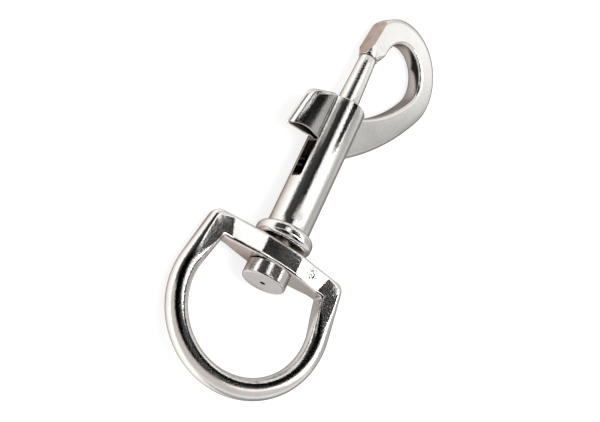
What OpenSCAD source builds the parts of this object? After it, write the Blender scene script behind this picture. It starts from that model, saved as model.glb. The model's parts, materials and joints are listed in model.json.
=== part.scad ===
// Swivel snap hook: a cast hook with a barrel, a sprung bolt with a thumb lever,
// and a D-shaped strap eye that turns on a riveted stud.
// Each piece is drawn with the barrel's axis up Z and the hook on the +X side.
// lay() then sets it down as it rests on a table: the barrel along +X, dipping a
// little towards the rim, the hook on the -Y side, and the table at Z = 0.

/* [Barrel] */
// Outside diameter of the barrel
barrel_d = 8.6; // [8:0.1:10]
// Length from the face at the swivel end to the rim
barrel_len = 33; // [31:0.5:36]
// Diameter of the bore that holds the spring and the bolt
bore_d = 6; // [5.6:0.1:6.6]
// Thickness of the floor that the stud is riveted through
floor_h = 3.4; // [2.4:0.1:4.5]
// Diameter of the collar at the swivel end
collar_d = 11.7; // [10.4:0.1:13]
// Height of the collar
collar_h = 2.9; // [2.4:0.1:4]
// Rounding of the collar's edges
collar_round = 1.1; // [0.3:0.1:1.2]
// Width of the slot that the thumb lever runs in
slot_w = 2.5; // [2.2:0.1:3]
// Height of the closed end of the slot
slot_foot = 13.5; // [12:0.1:15]

/* [Hook] */
// Height of the middle of the hook's bow
bow_z = 48.4; // [47:0.1:51]
// Radius of the bow's middle line, which brings the nose over the bolt
bow_r = 8.9; // [8.4:0.1:10.5]
// Width of the hook's bar
bar_w = 5.4; // [4.8:0.1:6]
// Thickness of the hook's bar and web
bar_t = 3.9; // [3.4:0.1:4.6]
// Rounding of the bar's edges
bar_round = 1.2; // [0.4:0.1:1.5]
// Angle below level at which the bow runs into the arm
arm_from = 25; // [20:1:30]
// Radius of the arm's outer edge
arm_r = 63; // [50:1:80]
// Angle below level at which the bow's inner edge runs into the web
web_from = 26; // [20:1:32]
// Radius of the web's edge inside the hook
web_r = 34; // [30:1:36]
// Drop of the nose's end below the middle of the bow
nose_drop = 2.7; // [2:0.1:4]
// Diameter of the end of the nose
nose_d = 4.3; // [4:0.1:4.8]
// Distance of the flat on the nose from the axis, at the end of the nose
nose_flat = 1.95; // [1.8:0.05:2.2]
// Lean of the flat on the nose
nose_flat_lean = 6.5; // [4:0.5:8]
// Diameter of the socket in the nose for the end of the bolt
socket_d = 3.4; // [3:0.1:3.6]
// Depth of the socket
socket_h = 0.9; // [0.6:0.1:1.4]

/* [Bolt and thumb lever] */
// Travel of the bolt, from the nose to fully drawn back
travel = 9; // [8:0.1:9.5]
// Diameter of the rod where it leaves the barrel
rod_d = 4.6; // [4:0.1:5]
// Diameter of the rod at the nose
rod_tip_d = 3.6; // [3.2:0.1:3.8]
// Diameter of the rod's end face inside the socket
rod_end_d = 2.4; // [2:0.1:2.8]
// Length of the bolt below the foot of the lever
bolt_tail = 3.5; // [2.5:0.1:4.5]
// Reach of the lever's lip from the barrel's axis
lever_reach = 12; // [11.5:0.1:14]
// Width of the lever between the slot's edges and where it starts to narrow
lever_side = 7.2; // [6.5:0.1:8]
// Radius of the lever's nose, seen along the barrel
lever_nose_r = 0.75; // [0.6:0.05:1]
// Radius of the lever's top corner
lever_corner_r = 3; // [2:0.1:3.4]
// Height of the corner's centre below the rim
lever_corner_drop = 5; // [4.5:0.1:6]
// Flare of the lever from its top corner out to its lip
lever_flare = 1.1; // [0.8:0.1:1.5]
// Radius of the hollow that the thumb pulls on, under the lever
grip_r = 8.5; // [8:0.1:10]
// Wall of the hollow lever
lever_wall = 0.45; // [0.35:0.05:0.6]

/* [Spring] */
// Diameter of the spring's wire
wire_d = 0.6; // [0.4:0.05:0.7]
// Number of turns
coils = 8; // [6:1:9]

/* [Swivel stud] */
// Diameter of the stud's shank
stud_d = 4.2; // [3.6:0.1:4.6]
// Diameter of the stud's head
head_d = 8.8; // [7.6:0.1:9.6]
// Height of the stud's head
head_h = 3.1; // [2.4:0.1:3.6]
// Rounding of the head's outer edge
head_round = 0.5; // [0.2:0.1:0.8]
// Diameter of the pit in the middle of the head
pit_d = 0.9; // [0.6:0.1:1.2]
// Depth of the pit
pit_h = 1.2; // [0.8:0.1:1.6]
// Diameter of the riveted end inside the barrel
rivet_d = 5.2; // [4.8:0.1:5.4]
// Height of the riveted end
rivet_h = 0.7; // [0.5:0.1:1]

/* [Eye] */
// Diameter of the eye's round bar
eye_bar_d = 4.3; // [3.8:0.1:4.8]
// Radius of the bow's middle line
eye_r = 15; // [14:0.1:18]
// Distance from the swivel face to the middle of the bow
eye_depth = 14.2; // [13.5:0.1:17]
// Distance of the eye's corners from the axis, along the bar's middle line
eye_corner = 13.3; // [12.8:0.1:14.4]
// Height of the crossbar
cross_h = 4.7; // [4:0.1:5.2]
// Thickness of the crossbar
cross_t = 3.9; // [3.4:0.1:4.3]
// Rounding of the crossbar's upper corners
cross_round = 2; // [1:0.1:2.2]
// Thickness of the crossbar at the stud, in the middle of a low arch
arch_t = 7.5; // [7:0.1:8.5]
// Distance from the axis at which the arch's round crown ends
crown_run = 4; // [3:0.1:5]
// Radius of the crown
crown_r = 40; // [20:1:60]
// Distance from the axis at which the arch runs out into the crossbar
arch_run = 10.5; // [9:0.1:11.5]

/* [Fits] */
// Clearance of the bolt in the bore, on the radius
slide_gap = 0.05; // [0.03:0.01:0.1]
// Clearance of the lever in the slot, each side
slot_gap = 0.1; // [0.05:0.05:0.2]
// Clearance of the eye on the stud, on the radius
swivel_gap = 0.08; // [0.04:0.01:0.1]
// End float of the eye under the collar
collar_gap = 0.5; // [0.3:0.1:0.7]
// End float of the eye over the stud's head
head_gap = 0.2; // [0.1:0.05:0.4]
// Grip of the riveted stud in the floor, on the radius
press = 0.01; // [0.005:0.005:0.02]
// Gap left at the ends of the bolt's travel and of the spring
stop_gap = 0.1; // [0.05:0.05:0.2]

/* [Hidden] */
$fn = 96;
eps = 0.01;

cast_nickel = [0.74, 0.73, 0.71];
spring_steel = [0.55, 0.56, 0.58];

barrel_r = barrel_d / 2;
bore_r = bore_d / 2;
collar_r = collar_d / 2;
rim_chamfer = 0.25;

// Hook: centres of the arm's and the web's arcs, which leave the bow tangentially
bow_c = [bow_r, bow_z];
bow_out = bow_r + bar_w / 2;
bow_in = bow_r - bar_w / 2;
function below(a) = [cos(a), -sin(a)];
arm_c = bow_c + (bow_out - arm_r) * below(arm_from);
web_c = bow_c + (bow_in - web_r) * below(web_from);
root_x = (bore_r + barrel_r) / 2;
function angle_at(c, r, x) = acos((x - c[0]) / r);
arc_steps = 24;
function arc(c, r, from, to) =
    [for (i = [0:arc_steps]) c + r * below(from + (to - from) * i / arc_steps)];
nose_z = bow_z - nose_drop;
nose_taper = nose_drop + 0.5;
// The arm is a hair slimmer than the bow that it runs into
seat = 0.03;

// Bolt and lever heights
bolt_r = bore_r - slide_gap;
lever_w = slot_w - 2 * slot_gap;
// The lever's square foot stops where the slot's round corners begin to narrow it
slot_round = 0.6;
lever_foot = slot_foot + travel + stop_gap
    + slot_round - sqrt(pow(slot_round, 2) - pow(slot_round - slot_gap, 2));
bolt_foot = lever_foot - bolt_tail;
rod_shoulder = nose_z - 0.3;
rod_end = nose_z + socket_h - 3 * stop_gap;
lever_corner = [lever_reach - lever_flare - lever_corner_r, barrel_len - lever_corner_drop];
lever_flat = barrel_r + 0.6;
top_slope = atan2(barrel_len - lever_corner[1], lever_corner[0] - lever_flat)
    - asin(lever_corner_r / norm([barrel_len - lever_corner[1], lever_corner[0] - lever_flat]));
grip_c = [lever_reach / 2, lever_foot - grip_r];
lip = [lever_reach - 0.3, grip_c[1] + sqrt(pow(grip_r, 2) - pow(lever_reach / 2 - 0.3, 2))];
edge_lean = atan2(lever_flare, lever_corner[1] - lip[1]);
roof = lever_wall + 0.15;

// Spring
coil_r = bore_r - 0.25 - wire_d / 2;
coil_foot = floor_h + rivet_h + wire_d / 2 + stop_gap / 2;
coil_top = bolt_foot - wire_d / 2 - stop_gap / 2;
coil_steps = 14;
wire_sides = 6;

// Eye
cross_top = -collar_gap;
cross_foot = cross_top - cross_h;
head_top = cross_foot - head_gap;
eye_mid = [0, -eye_depth];
leg_corner = [eye_corner, cross_top - cross_h / 2];
elbow_r = eye_bar_d / 2 + 0.05;
leg_reach = leg_corner - eye_mid;
leg_lean = atan2(leg_reach[1], leg_reach[0]) - acos(eye_r / norm(leg_reach));
leg_len = sqrt(pow(norm(leg_reach), 2) - pow(eye_r, 2));
crown_steps = 3;

// Rest: collar, rim and hook touch the table, and the eye leans on one leg
collar_edge = collar_h - collar_round;
dip = atan2(collar_r - barrel_r, barrel_len - collar_edge);
rest_h = collar_edge * sin(dip) + collar_r * cos(dip);
flat_out = bow_out - bar_round;
hook_drop = (rest_h - bow_z * sin(dip) - bar_round) / cos(dip) - bar_t / 2 + bar_round;
roll_a = pow(flat_out, 2) - pow(bow_r, 2);
roll_b = hook_drop * bow_r;
roll_c = pow(hook_drop, 2) - pow(flat_out * tan(dip), 2);
hook_roll = asin((sqrt(pow(roll_b, 2) + roll_a * roll_c) - roll_b) / roll_a);
eye_lean = min(asin((rest_h - eye_bar_d / 2 + eye_depth * sin(dip)) / eye_r),
    asin((rest_h - elbow_r - leg_corner[1] * sin(dip)) / eye_corner));
mid_x = (bow_z + bow_out - eye_depth - eye_r - eye_bar_d / 2) / 2 * cos(dip);
mid_y = (eye_r * cos(eye_lean) + eye_bar_d / 2 - (bow_r + bow_out) * cos(hook_roll)) / 2;

module lay() {
    translate([-mid_x, -mid_y, rest_h])
        rotate([0, dip, 0])
            rotate([hook_roll - 90, 0, 0])
                rotate([0, 90, 0])
                    children();
}

// Stands a shape drawn in the plane of the hook or the eye upright
module upright() {
    rotate([90, 0, 0]) children();
}

// Section of the hook's bar, with round edges
module bar_section(inset) {
    flat_w = bar_w - 2 * bar_round;
    flat_t = bar_t - 2 * bar_round;
    square([bar_w - 2 * inset, flat_t], center = true);
    square([flat_w, bar_t - 2 * inset], center = true);
    for (x = [-1, 1], y = [-1, 1])
        translate([x * flat_w / 2, y * flat_t / 2]) circle(bar_round - inset);
}

// A stretch of the bar, bent round centre c
module bent_bar(c, r, from, to, inset = 0) {
    translate(c) rotate([0, 0, -to])
        rotate_extrude(angle = to - from) translate([r, 0]) bar_section(inset);
}

module web_plate() {
    mid_r = arm_r - bar_w / 2;
    web_edge = arc(web_c, web_r, web_from, angle_at(web_c, web_r, root_x));
    arm_edge = arc(arm_c, mid_r, angle_at(arm_c, mid_r, root_x), arm_from);
    linear_extrude(bar_t - 4 * seat, center = true)
        polygon(concat(web_edge, arm_edge, [bow_c + bow_r * below(web_from)]));
}

module nose() {
    intersection() {
        translate([0, 0, nose_z])
            cylinder(h = nose_taper, r1 = nose_d / 2, r2 = bar_w / 2);
        translate([0, 0, nose_z + nose_taper / 2])
            cube([bar_w, bar_t, nose_taper + 1], center = true);
    }
}

module nose_flat_cut() {
    cut = 14;
    translate([-nose_flat, 0, nose_z]) rotate([0, nose_flat_lean, 0])
        translate([-cut, -cut / 2, -cut / 2]) cube([cut, cut, 2 * cut]);
}

module hook_blank() {
    arm_end = angle_at(arm_c, arm_r, root_x);
    difference() {
        union() {
            upright() bent_bar(bow_c, bow_r, -180, arm_from);
            nose();
        }
        nose_flat_cut();
    }
    upright() bent_bar(arm_c, arm_r - bar_w / 2, arm_from - 0.5, arm_end, seat);
    upright() web_plate();
}

module collar() {
    edge = collar_r - collar_round;
    rotate_extrude() {
        square([edge, collar_h]);
        translate([0, collar_round]) square([collar_r, collar_h - 2 * collar_round]);
        for (y = [collar_round, collar_h - collar_round])
            translate([edge, y]) intersection() {
                circle(collar_round);
                translate([-edge, -collar_round]) square(2 * collar_r);
            }
    }
}

module barrel() {
    rotate_extrude() polygon([
        [0, 0], [barrel_r, 0], [barrel_r, barrel_len - rim_chamfer],
        [barrel_r - rim_chamfer, barrel_len], [0, barrel_len]
    ]);
}

// The slot is open at the rim and has round corners at its foot
module slot_cut() {
    corner = slot_round;
    high = barrel_len - slot_foot + 1;
    translate([-barrel_r, 0, slot_foot]) rotate([90, 0, 90])
        linear_extrude(2 * barrel_r, center = true) {
            translate([-slot_w / 2, corner]) square([slot_w, high]);
            translate([corner - slot_w / 2, 0]) square([slot_w - 2 * corner, high]);
            for (x = [-1, 1])
                translate([x * (slot_w / 2 - corner), corner]) circle(corner);
        }
}

module hook_body() {
    color(cast_nickel) lay() difference() {
        union() {
            barrel();
            collar();
            hook_blank();
        }
        translate([0, 0, floor_h]) cylinder(h = barrel_len + 2 - floor_h, r = bore_r);
        translate([0, 0, -1]) cylinder(h = floor_h + 2, r = stud_d / 2 - press);
        translate([0, 0, nose_z - 1]) cylinder(h = socket_h + 1, d = socket_d);
        slot_cut();
    }
}

// Outline of the lever seen from the side; inset leaves a wall all round its outside
function lever_outline(inset, inner, foot) = concat(
    [[inner, foot], [inner, barrel_len - (inset > 0 ? roof : 0)],
     [lever_flat, barrel_len - (inset > 0 ? roof : 0)]],
    [for (i = [0:arc_steps])
        let (a = 90 - top_slope + (top_slope - 90 - edge_lean + 2 * edge_lean) * i / arc_steps)
        lever_corner + (lever_corner_r - inset) * [cos(a), sin(a)]],
    [[lever_reach - inset, lip[1] + 0.6], [lever_reach - inset, foot]]
);

// Shape of the lever seen along the barrel
module lever_plan(inset) {
    side = lever_w / 2 - inset;
    tip = lever_nose_r - inset;
    tip_x = lever_reach - lever_nose_r;
    polygon([[0, -side], [lever_side, -side], [tip_x, -tip],
        [tip_x, tip], [lever_side, side], [0, side]]);
    translate([tip_x, 0]) circle(tip);
}

// The lever is a hollow shell, open underneath, drawn reaching towards +X
module lever() {
    tall = barrel_len + 2;
    difference() {
        intersection() {
            linear_extrude(tall) lever_plan(0);
            upright() linear_extrude(lever_w + 1, center = true)
                polygon(lever_outline(0, 0, grip_c[1]));
        }
        intersection() {
            linear_extrude(tall) lever_plan(lever_wall);
            upright() linear_extrude(lever_w, center = true)
                polygon(lever_outline(lever_wall, bolt_r + 0.2, grip_c[1] - 1));
        }
        upright() linear_extrude(lever_w + 2, center = true) difference() {
            translate([-eps, grip_c[1] - 2]) square([2 * lever_reach, grip_r + 2]);
            difference() {
                translate(grip_c) square(2 * lever_reach);
                translate(grip_c) circle(grip_r);
            }
        }
    }
}

module bolt() {
    color(cast_nickel) lay() {
        translate([0, 0, bolt_foot]) cylinder(h = barrel_len - bolt_foot, r = bolt_r);
        translate([0, 0, barrel_len - eps])
            cylinder(h = rod_shoulder - barrel_len + eps, d1 = rod_d, d2 = rod_tip_d);
        translate([0, 0, rod_shoulder])
            cylinder(h = rod_end - rod_shoulder, d1 = rod_tip_d, d2 = rod_end_d);
        rotate([0, 0, 180]) lever();
    }
}

// The end turns lie flat and the turns between are spread evenly
function coil_rise(t) = t < 1 ? 0 : t > coils - 1 ? 1 : (t - 1) / (coils - 2);
function flat_turn(t) = t < 1 ? t : t > coils - 1 ? t - coils + 2 : 1;

module spring() {
    steps = coils * coil_steps;
    span = coil_top - coil_foot - 2 * wire_d;
    rings = [for (i = [0:steps]) let (t = i / coil_steps, a = 360 * t,
            z = coil_foot + wire_d * flat_turn(t) + span * coil_rise(t))
        for (j = [0:wire_sides - 1]) let (b = 360 * j / wire_sides,
            r = coil_r + wire_d / 2 * cos(b))
        [r * cos(a), r * sin(a), z + wire_d / 2 * sin(b)]];
    sides = [for (i = [0:steps - 1], j = [0:wire_sides - 1])
        let (n = (j + 1) % wire_sides, low = i * wire_sides, high = low + wire_sides)
        each [[low + j, high + j, high + n], [low + j, high + n, low + n]]];
    ends = [[for (j = [0:wire_sides - 1]) j],
        [for (j = [wire_sides - 1:-1:0]) steps * wire_sides + j]];
    color(spring_steel) lay() polyhedron(rings, concat(sides, ends));
}

module stud() {
    edge = head_d / 2 - head_round;
    head_foot = head_top - head_h;
    color(cast_nickel) lay() difference() {
        union() {
            translate([0, 0, head_top - eps])
                cylinder(h = floor_h - head_top + 2 * eps, d = stud_d);
            translate([0, 0, floor_h]) cylinder(h = rivet_h, d = rivet_d);
            translate([0, 0, head_foot]) rotate_extrude() {
                square([edge, head_h]);
                translate([0, head_round]) square([head_d / 2, head_h - head_round]);
                translate([edge, head_round]) circle(head_round);
            }
        }
        translate([0, 0, head_foot - 1]) cylinder(h = pit_h + 1, d = pit_d);
    }
}

// One side of the arch over the stud, seen along the barrel
function arch_side(y) = concat(
    [[-y * arch_run, y * cross_t / 2]],
    [for (i = [-crown_steps:crown_steps])
        let (x = y * crown_run * i / crown_steps)
        [x, y * (arch_t / 2 - pow(x, 2) / (2 * crown_r))]],
    [[y * arch_run, y * cross_t / 2]]
);

// The crossbar has round ends, seen along the barrel, and round upper corners
module crossbar() {
    half = eye_corner + eye_bar_d / 2;
    end = half - cross_t / 2;
    intersection() {
        upright() linear_extrude(cross_t + 1, center = true) {
            translate([-half, cross_foot]) square([2 * half, cross_h - cross_round]);
            translate([cross_round - half, cross_foot]) square([2 * (half - cross_round), cross_h]);
            for (x = [-1, 1])
                translate([x * (half - cross_round), cross_top - cross_round]) circle(cross_round);
        }
        translate([0, 0, cross_foot - 1]) linear_extrude(cross_h + 2) {
            square([2 * end, cross_t], center = true);
            for (x = [-1, 1]) translate([x * end, 0]) circle(d = cross_t);
        }
    }
    translate([0, 0, cross_foot]) linear_extrude(cross_h)
        polygon(concat(arch_side(1), arch_side(-1)));
}

module leg() {
    translate([0, 0, -eye_depth]) rotate([0, -leg_lean, 0])
        translate([eye_r, 0, 0]) cylinder(h = leg_len, d = eye_bar_d);
    translate([leg_corner[0], 0, leg_corner[1]]) sphere(elbow_r);
}

module d_eye() {
    color(cast_nickel) lay() rotate([0, 0, -eye_lean - hook_roll]) difference() {
        union() {
            crossbar();
            leg();
            mirror([1, 0, 0]) leg();
            upright() translate(eye_mid) rotate([0, 0, 180 - leg_lean])
                rotate_extrude(angle = 180 + 2 * leg_lean) translate([eye_r, 0])
                    circle(d = eye_bar_d);
        }
        translate([0, 0, cross_foot - 1])
            cylinder(h = cross_h + 2, d = stud_d + 2 * swivel_gap);
    }
}

hook_body();
bolt();
spring();
stud();
d_eye();
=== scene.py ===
import json
from math import acos, asin, atan2, cos, degrees, hypot, pi, radians, sin, sqrt, tan

import bmesh
import bpy
from mathutils import Euler, Matrix, Vector


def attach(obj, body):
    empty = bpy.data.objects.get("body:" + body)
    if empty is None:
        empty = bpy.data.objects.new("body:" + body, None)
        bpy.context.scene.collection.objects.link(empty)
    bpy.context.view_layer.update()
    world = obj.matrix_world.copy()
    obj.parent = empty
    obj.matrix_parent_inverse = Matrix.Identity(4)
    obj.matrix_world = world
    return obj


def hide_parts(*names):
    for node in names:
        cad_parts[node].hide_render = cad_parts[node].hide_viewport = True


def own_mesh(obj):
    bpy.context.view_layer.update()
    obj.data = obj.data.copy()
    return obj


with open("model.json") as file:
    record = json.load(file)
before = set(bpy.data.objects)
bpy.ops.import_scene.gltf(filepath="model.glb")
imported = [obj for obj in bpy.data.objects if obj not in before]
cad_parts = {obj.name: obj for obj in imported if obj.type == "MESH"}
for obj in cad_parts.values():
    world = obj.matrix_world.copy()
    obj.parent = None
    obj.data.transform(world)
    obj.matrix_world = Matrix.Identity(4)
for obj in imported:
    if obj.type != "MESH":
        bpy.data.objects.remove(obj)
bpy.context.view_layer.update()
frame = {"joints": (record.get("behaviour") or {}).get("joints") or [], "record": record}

joints = {joint["name"]: joint for joint in frame["joints"]}
mounts = {mount["name"]: mount for mount in frame["record"]["mounts"]}

# Where things are. Every piece is modelled in millimetres with the barrel's axis up Z,
# the hook on the +X side and the swivel face at zero, and is then laid on the table.
lay = {
    "barrelAxis": Vector(joints["eye_swivel"]["axis"]).normalized(),
    "swivelPoint": Vector(joints["eye_swivel"]["pos_m"]),
    "swivelDepth": 2.85,  # from the swivel face to the middle of the crossbar
    "hookUp": Vector(mounts["hook_bow"]["axis"]),
    "eyeUp": Vector(mounts["strap_eye"]["axis"]),
    "metresPerMm": 0.001,
    "mergeDistance": 0.0005,  # corners nearer than this become one
}


def layMatrix(faceUp):
    zAxis = lay["barrelAxis"]
    yAxis = (zAxis * faceUp.dot(zAxis) - faceUp).normalized()
    xAxis = yAxis.cross(zAxis)
    turn = Matrix((xAxis, yAxis, zAxis)).transposed().to_4x4()
    foot = lay["swivelPoint"] + zAxis * lay["swivelDepth"] * lay["metresPerMm"]
    return Matrix.Translation(foot) @ turn @ Matrix.Scale(lay["metresPerMm"], 4)


hookLay = layMatrix(lay["hookUp"])
eyeLay = layMatrix(lay["eyeUp"])


def smooth01(t):
    t = min(1.0, max(0.0, t))
    return t * t * (3 - 2 * t)


def blendValue(a, b, t):
    return a + (b - a) * t


def arcPoints(centre, radius, start, end, steps):
    points = []
    for i in range(steps + 1):
        a = radians(start + (end - start) * i / steps)
        points.append((centre[0] + radius * cos(a), centre[1] + radius * sin(a)))
    return points


def sectionPoints(halfWide, halfThick, outerRound, innerRound):
    # a rounded bar section: x across the bar, towards its outer edge, y through it
    outerRound = min(outerRound, halfWide, halfThick)
    innerRound = min(innerRound, halfWide, halfThick)
    corners = ((1, 1, outerRound, 0), (-1, 1, innerRound, 90),
               (-1, -1, innerRound, 180), (1, -1, outerRound, 270))
    points = []
    for sideX, sideY, r, turn in corners:
        centre = (sideX * (halfWide - r), sideY * (halfThick - r))
        points += arcPoints(centre, r, turn, turn + 90, 7)
    return points


def stationRing(station):
    # places a section between its inner and outer edge points, in the XZ plane
    inner, outer = Vector(station["inner"]), Vector(station["outer"])
    middle = (inner + outer) / 2
    across = outer - inner
    half = across.length / 2
    across.normalize()
    ring = []
    for u, v in sectionPoints(half, station["halfThick"], station["outerRound"], station["innerRound"]):
        spot = middle + across * u
        ring.append(Vector((spot.x, -v, spot.y)))
    return ring


def ringEdges(bm, ring):
    return [bm.edges.get((ring[i - 1], ring[i])) for i in range(len(ring))]


def loft(bm, rings, closed=False):
    # a tube through rings of points, all with the same count
    ring = bmesh.ops.create_circle(bm, segments=len(rings[0]), radius=1)["verts"]
    first = ring
    for vert, spot in zip(ring, rings[0]):
        vert.co = spot
    for points in rings[1:]:
        made = bmesh.ops.extrude_edge_only(bm, edges=ringEdges(bm, ring))["geom"]
        fresh = {g for g in made if isinstance(g, bmesh.types.BMVert)}
        step = []
        for vert in ring:
            step.append(next(e.other_vert(vert) for e in vert.link_edges if e.other_vert(vert) in fresh))
        for vert, spot in zip(step, points):
            vert.co = spot
        ring = step
    if closed:
        bmesh.ops.bridge_loops(bm, edges=ringEdges(bm, first) + ringEdges(bm, ring))
    return first, ring


def capRing(bm, ring):
    return bmesh.ops.edgeloop_fill(bm, edges=ringEdges(bm, ring))["faces"][0]


def tidyMesh(bm):
    bmesh.ops.remove_doubles(bm, verts=bm.verts[:], dist=lay["mergeDistance"])
    bmesh.ops.recalc_face_normals(bm, faces=bm.faces[:])


def lathe(bm, profile, steps, closed=False):
    # turns (radius, height) points round the barrel's axis, where an open profile starts and ends
    verts = [bm.verts.new((r, 0, z)) for r, z in profile]
    begin = 0 if closed else 1
    edges = [bm.edges.new((verts[i - 1], verts[i])) for i in range(begin, len(verts))]
    bmesh.ops.spin(bm, geom=verts + edges, cent=(0, 0, 0), axis=(0, 0, 1), dvec=(0, 0, 0),
                   angle=2 * pi, steps=steps, use_merge=True, use_duplicate=False)
    tidyMesh(bm)


def makeObject(name, bm):
    mesh = bpy.data.meshes.new(name)
    bm.to_mesh(mesh)
    bm.free()
    made = bpy.data.objects.new(name, mesh)
    bpy.context.scene.collection.objects.link(made)
    return made


def applyModifiers(made):
    bpy.context.view_layer.update()
    graph = bpy.context.evaluated_depsgraph_get()
    mesh = bpy.data.meshes.new_from_object(made.evaluated_get(graph), depsgraph=graph)
    made.modifiers.clear()
    made.data = mesh
    return made


def joinWith(made, other, operation):
    # a solid join or cut, after which the other solid is gone
    step = made.modifiers.new(operation.title(), "BOOLEAN")
    step.operation = operation
    step.solver = "EXACT"
    step.object = other
    applyModifiers(made)
    bpy.data.objects.remove(other)


def bevelEdges(made, chosen, width):
    bm = bmesh.new()
    bm.from_mesh(made.data)
    bmesh.ops.remove_doubles(bm, verts=bm.verts[:], dist=lay["mergeDistance"])
    edges = [e for e in bm.edges if len(e.link_faces) == 2 and chosen(e)]
    bmesh.ops.bevel(bm, geom=edges, offset=width, offset_type="OFFSET", segments=3, profile=0.5,
                    affect="EDGES", material=-1, clamp_overlap=True)
    bm.to_mesh(made.data)
    bm.free()


def emptyNodes(owner):
    owner.use_nodes = True
    owner.node_tree.nodes.clear()
    return owner.node_tree.nodes, owner.node_tree.links


def addNoise(nodes, links, coords, scale, detail):
    noise = nodes.new("ShaderNodeTexNoise")
    noise.inputs["Scale"].default_value = scale
    noise.inputs["Detail"].default_value = detail
    links.new(coords.outputs["Object"], noise.inputs["Vector"])
    return noise.outputs["Fac"]


def addBump(nodes, links, height, distance, below=None):
    bump = nodes.new("ShaderNodeBump")
    bump.inputs["Strength"].default_value = 1.0
    bump.inputs["Distance"].default_value = distance
    links.new(height, bump.inputs["Height"])
    if below:
        links.new(below, bump.inputs["Normal"])
    return bump.outputs["Normal"]


def addRange(nodes, links, value, fromEnds, toEnds=(0, 1), smooth=False):
    made = nodes.new("ShaderNodeMapRange")
    if smooth:
        made.interpolation_type = "SMOOTHSTEP"
    made.inputs["From Min"].default_value = fromEnds[0]
    made.inputs["From Max"].default_value = fromEnds[1]
    made.inputs["To Min"].default_value = toEnds[0]
    made.inputs["To Max"].default_value = toEnds[1]
    links.new(value, made.inputs["Value"])
    return made.outputs["Result"]


def addRamp(nodes, links, value, stops):
    # stops are (position, color) pairs from low to high
    ramp = nodes.new("ShaderNodeValToRGB")
    elements = ramp.color_ramp.elements
    for position, color in stops[1:-1]:
        elements.new(position).color = (*color, 1)
    for element, stop in ((elements[0], stops[0]), (elements[-1], stops[-1])):
        element.position = stop[0]
        element.color = (*stop[1], 1)
    links.new(value, ramp.inputs["Fac"])
    return ramp.outputs["Color"]


def addMath(nodes, links, operation, *values):
    # each value is a number or another node's output
    made = nodes.new("ShaderNodeMath")
    made.operation = operation
    for socket, value in zip(made.inputs, values):
        if isinstance(value, bpy.types.NodeSocket):
            links.new(value, socket)
        else:
            socket.default_value = value
    return made.outputs["Value"]


def addDistance(nodes, links, coords, spot):
    far = nodes.new("ShaderNodeVectorMath")
    far.operation = "DISTANCE"
    far.inputs[1].default_value = spot
    links.new(coords.outputs["Object"], far.inputs[0])
    return far.outputs["Value"]


nickelFinish = {
    "metal": 1.0,
    "color": (0.83, 0.81, 0.785),
    "shade": (0.79, 0.77, 0.745),
    "edgeTint": (0.5, 0.48, 0.46),  # how dark the metal turns at its outline
    "roughLow": 0.06,
    "roughHigh": 0.12,
    "cloudScale": 300.0,  # clouding of the plating
    "cloudFrom": 0.35,
    "cloudTo": 0.62,
    "waveScale": 160.0,  # soft unevenness of the casting
    "waveDepth": 0.000006,
    "peelScale": 3000.0,  # fine ripple under the plating
    "peelDepth": 0.000026,
}
crossbarPits = {
    "spot": eyeLay @ Vector((7.4, -2.7, -2.5)),
    "radius": 0.0016,
    "thickShare": 0.45,  # within this share of the radius the pits are thickest
    "thickening": 0.2,
    "scale": 3000.0,
    "grainFrom": 0.66,  # grain above this starts to be a pit
    "grainTo": 0.72,
    "color": (0.03, 0.025, 0.02),
}


def addPits(nodes, links, coords, tone, pits):
    # a small patch of dark pits round one spot
    far = addDistance(nodes, links, coords, pits["spot"])
    thick = addRange(nodes, links, far, (pits["radius"], pits["radius"] * pits["thickShare"]),
                     (0, pits["thickening"]))
    grain = addNoise(nodes, links, coords, pits["scale"], 2)
    both = addMath(nodes, links, "ADD", thick, grain)
    deep = addRange(nodes, links, both, (pits["grainFrom"], pits["grainTo"]))
    within = addMath(nodes, links, "LESS_THAN", far, pits["radius"])
    share = addMath(nodes, links, "MULTIPLY", deep, within)
    darken = nodes.new("ShaderNodeMixRGB")
    darken.inputs["Color2"].default_value = (*pits["color"], 1)
    links.new(share, darken.inputs["Fac"])
    links.new(tone, darken.inputs["Color1"])
    return darken.outputs["Color"]


def nickel(name, finish, pits=None):
    material = bpy.data.materials.new(name)
    material.use_nodes = True
    nodes, links = material.node_tree.nodes, material.node_tree.links
    shader = nodes["Principled BSDF"]
    shader.inputs["Metallic"].default_value = finish["metal"]
    shader.inputs["Specular Tint"].default_value = (*finish["edgeTint"], 1)
    coords = nodes.new("ShaderNodeTexCoord")
    cloud = addNoise(nodes, links, coords, finish["cloudScale"], 4)
    tone = addRamp(nodes, links, cloud,
                   ((finish["cloudFrom"], finish["shade"]), (finish["cloudTo"], finish["color"])))
    if pits:
        tone = addPits(nodes, links, coords, tone, pits)
    links.new(tone, shader.inputs["Base Color"])
    rough = addRange(nodes, links, cloud, (0, 1), (finish["roughLow"], finish["roughHigh"]))
    links.new(rough, shader.inputs["Roughness"])
    wave = addNoise(nodes, links, coords, finish["waveScale"], 2)
    peel = addNoise(nodes, links, coords, finish["peelScale"], 3)
    waveBump = addBump(nodes, links, wave, finish["waveDepth"])
    peelBump = addBump(nodes, links, peel, finish["peelDepth"], waveBump)
    links.new(peelBump, shader.inputs["Normal"])
    return material


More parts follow.
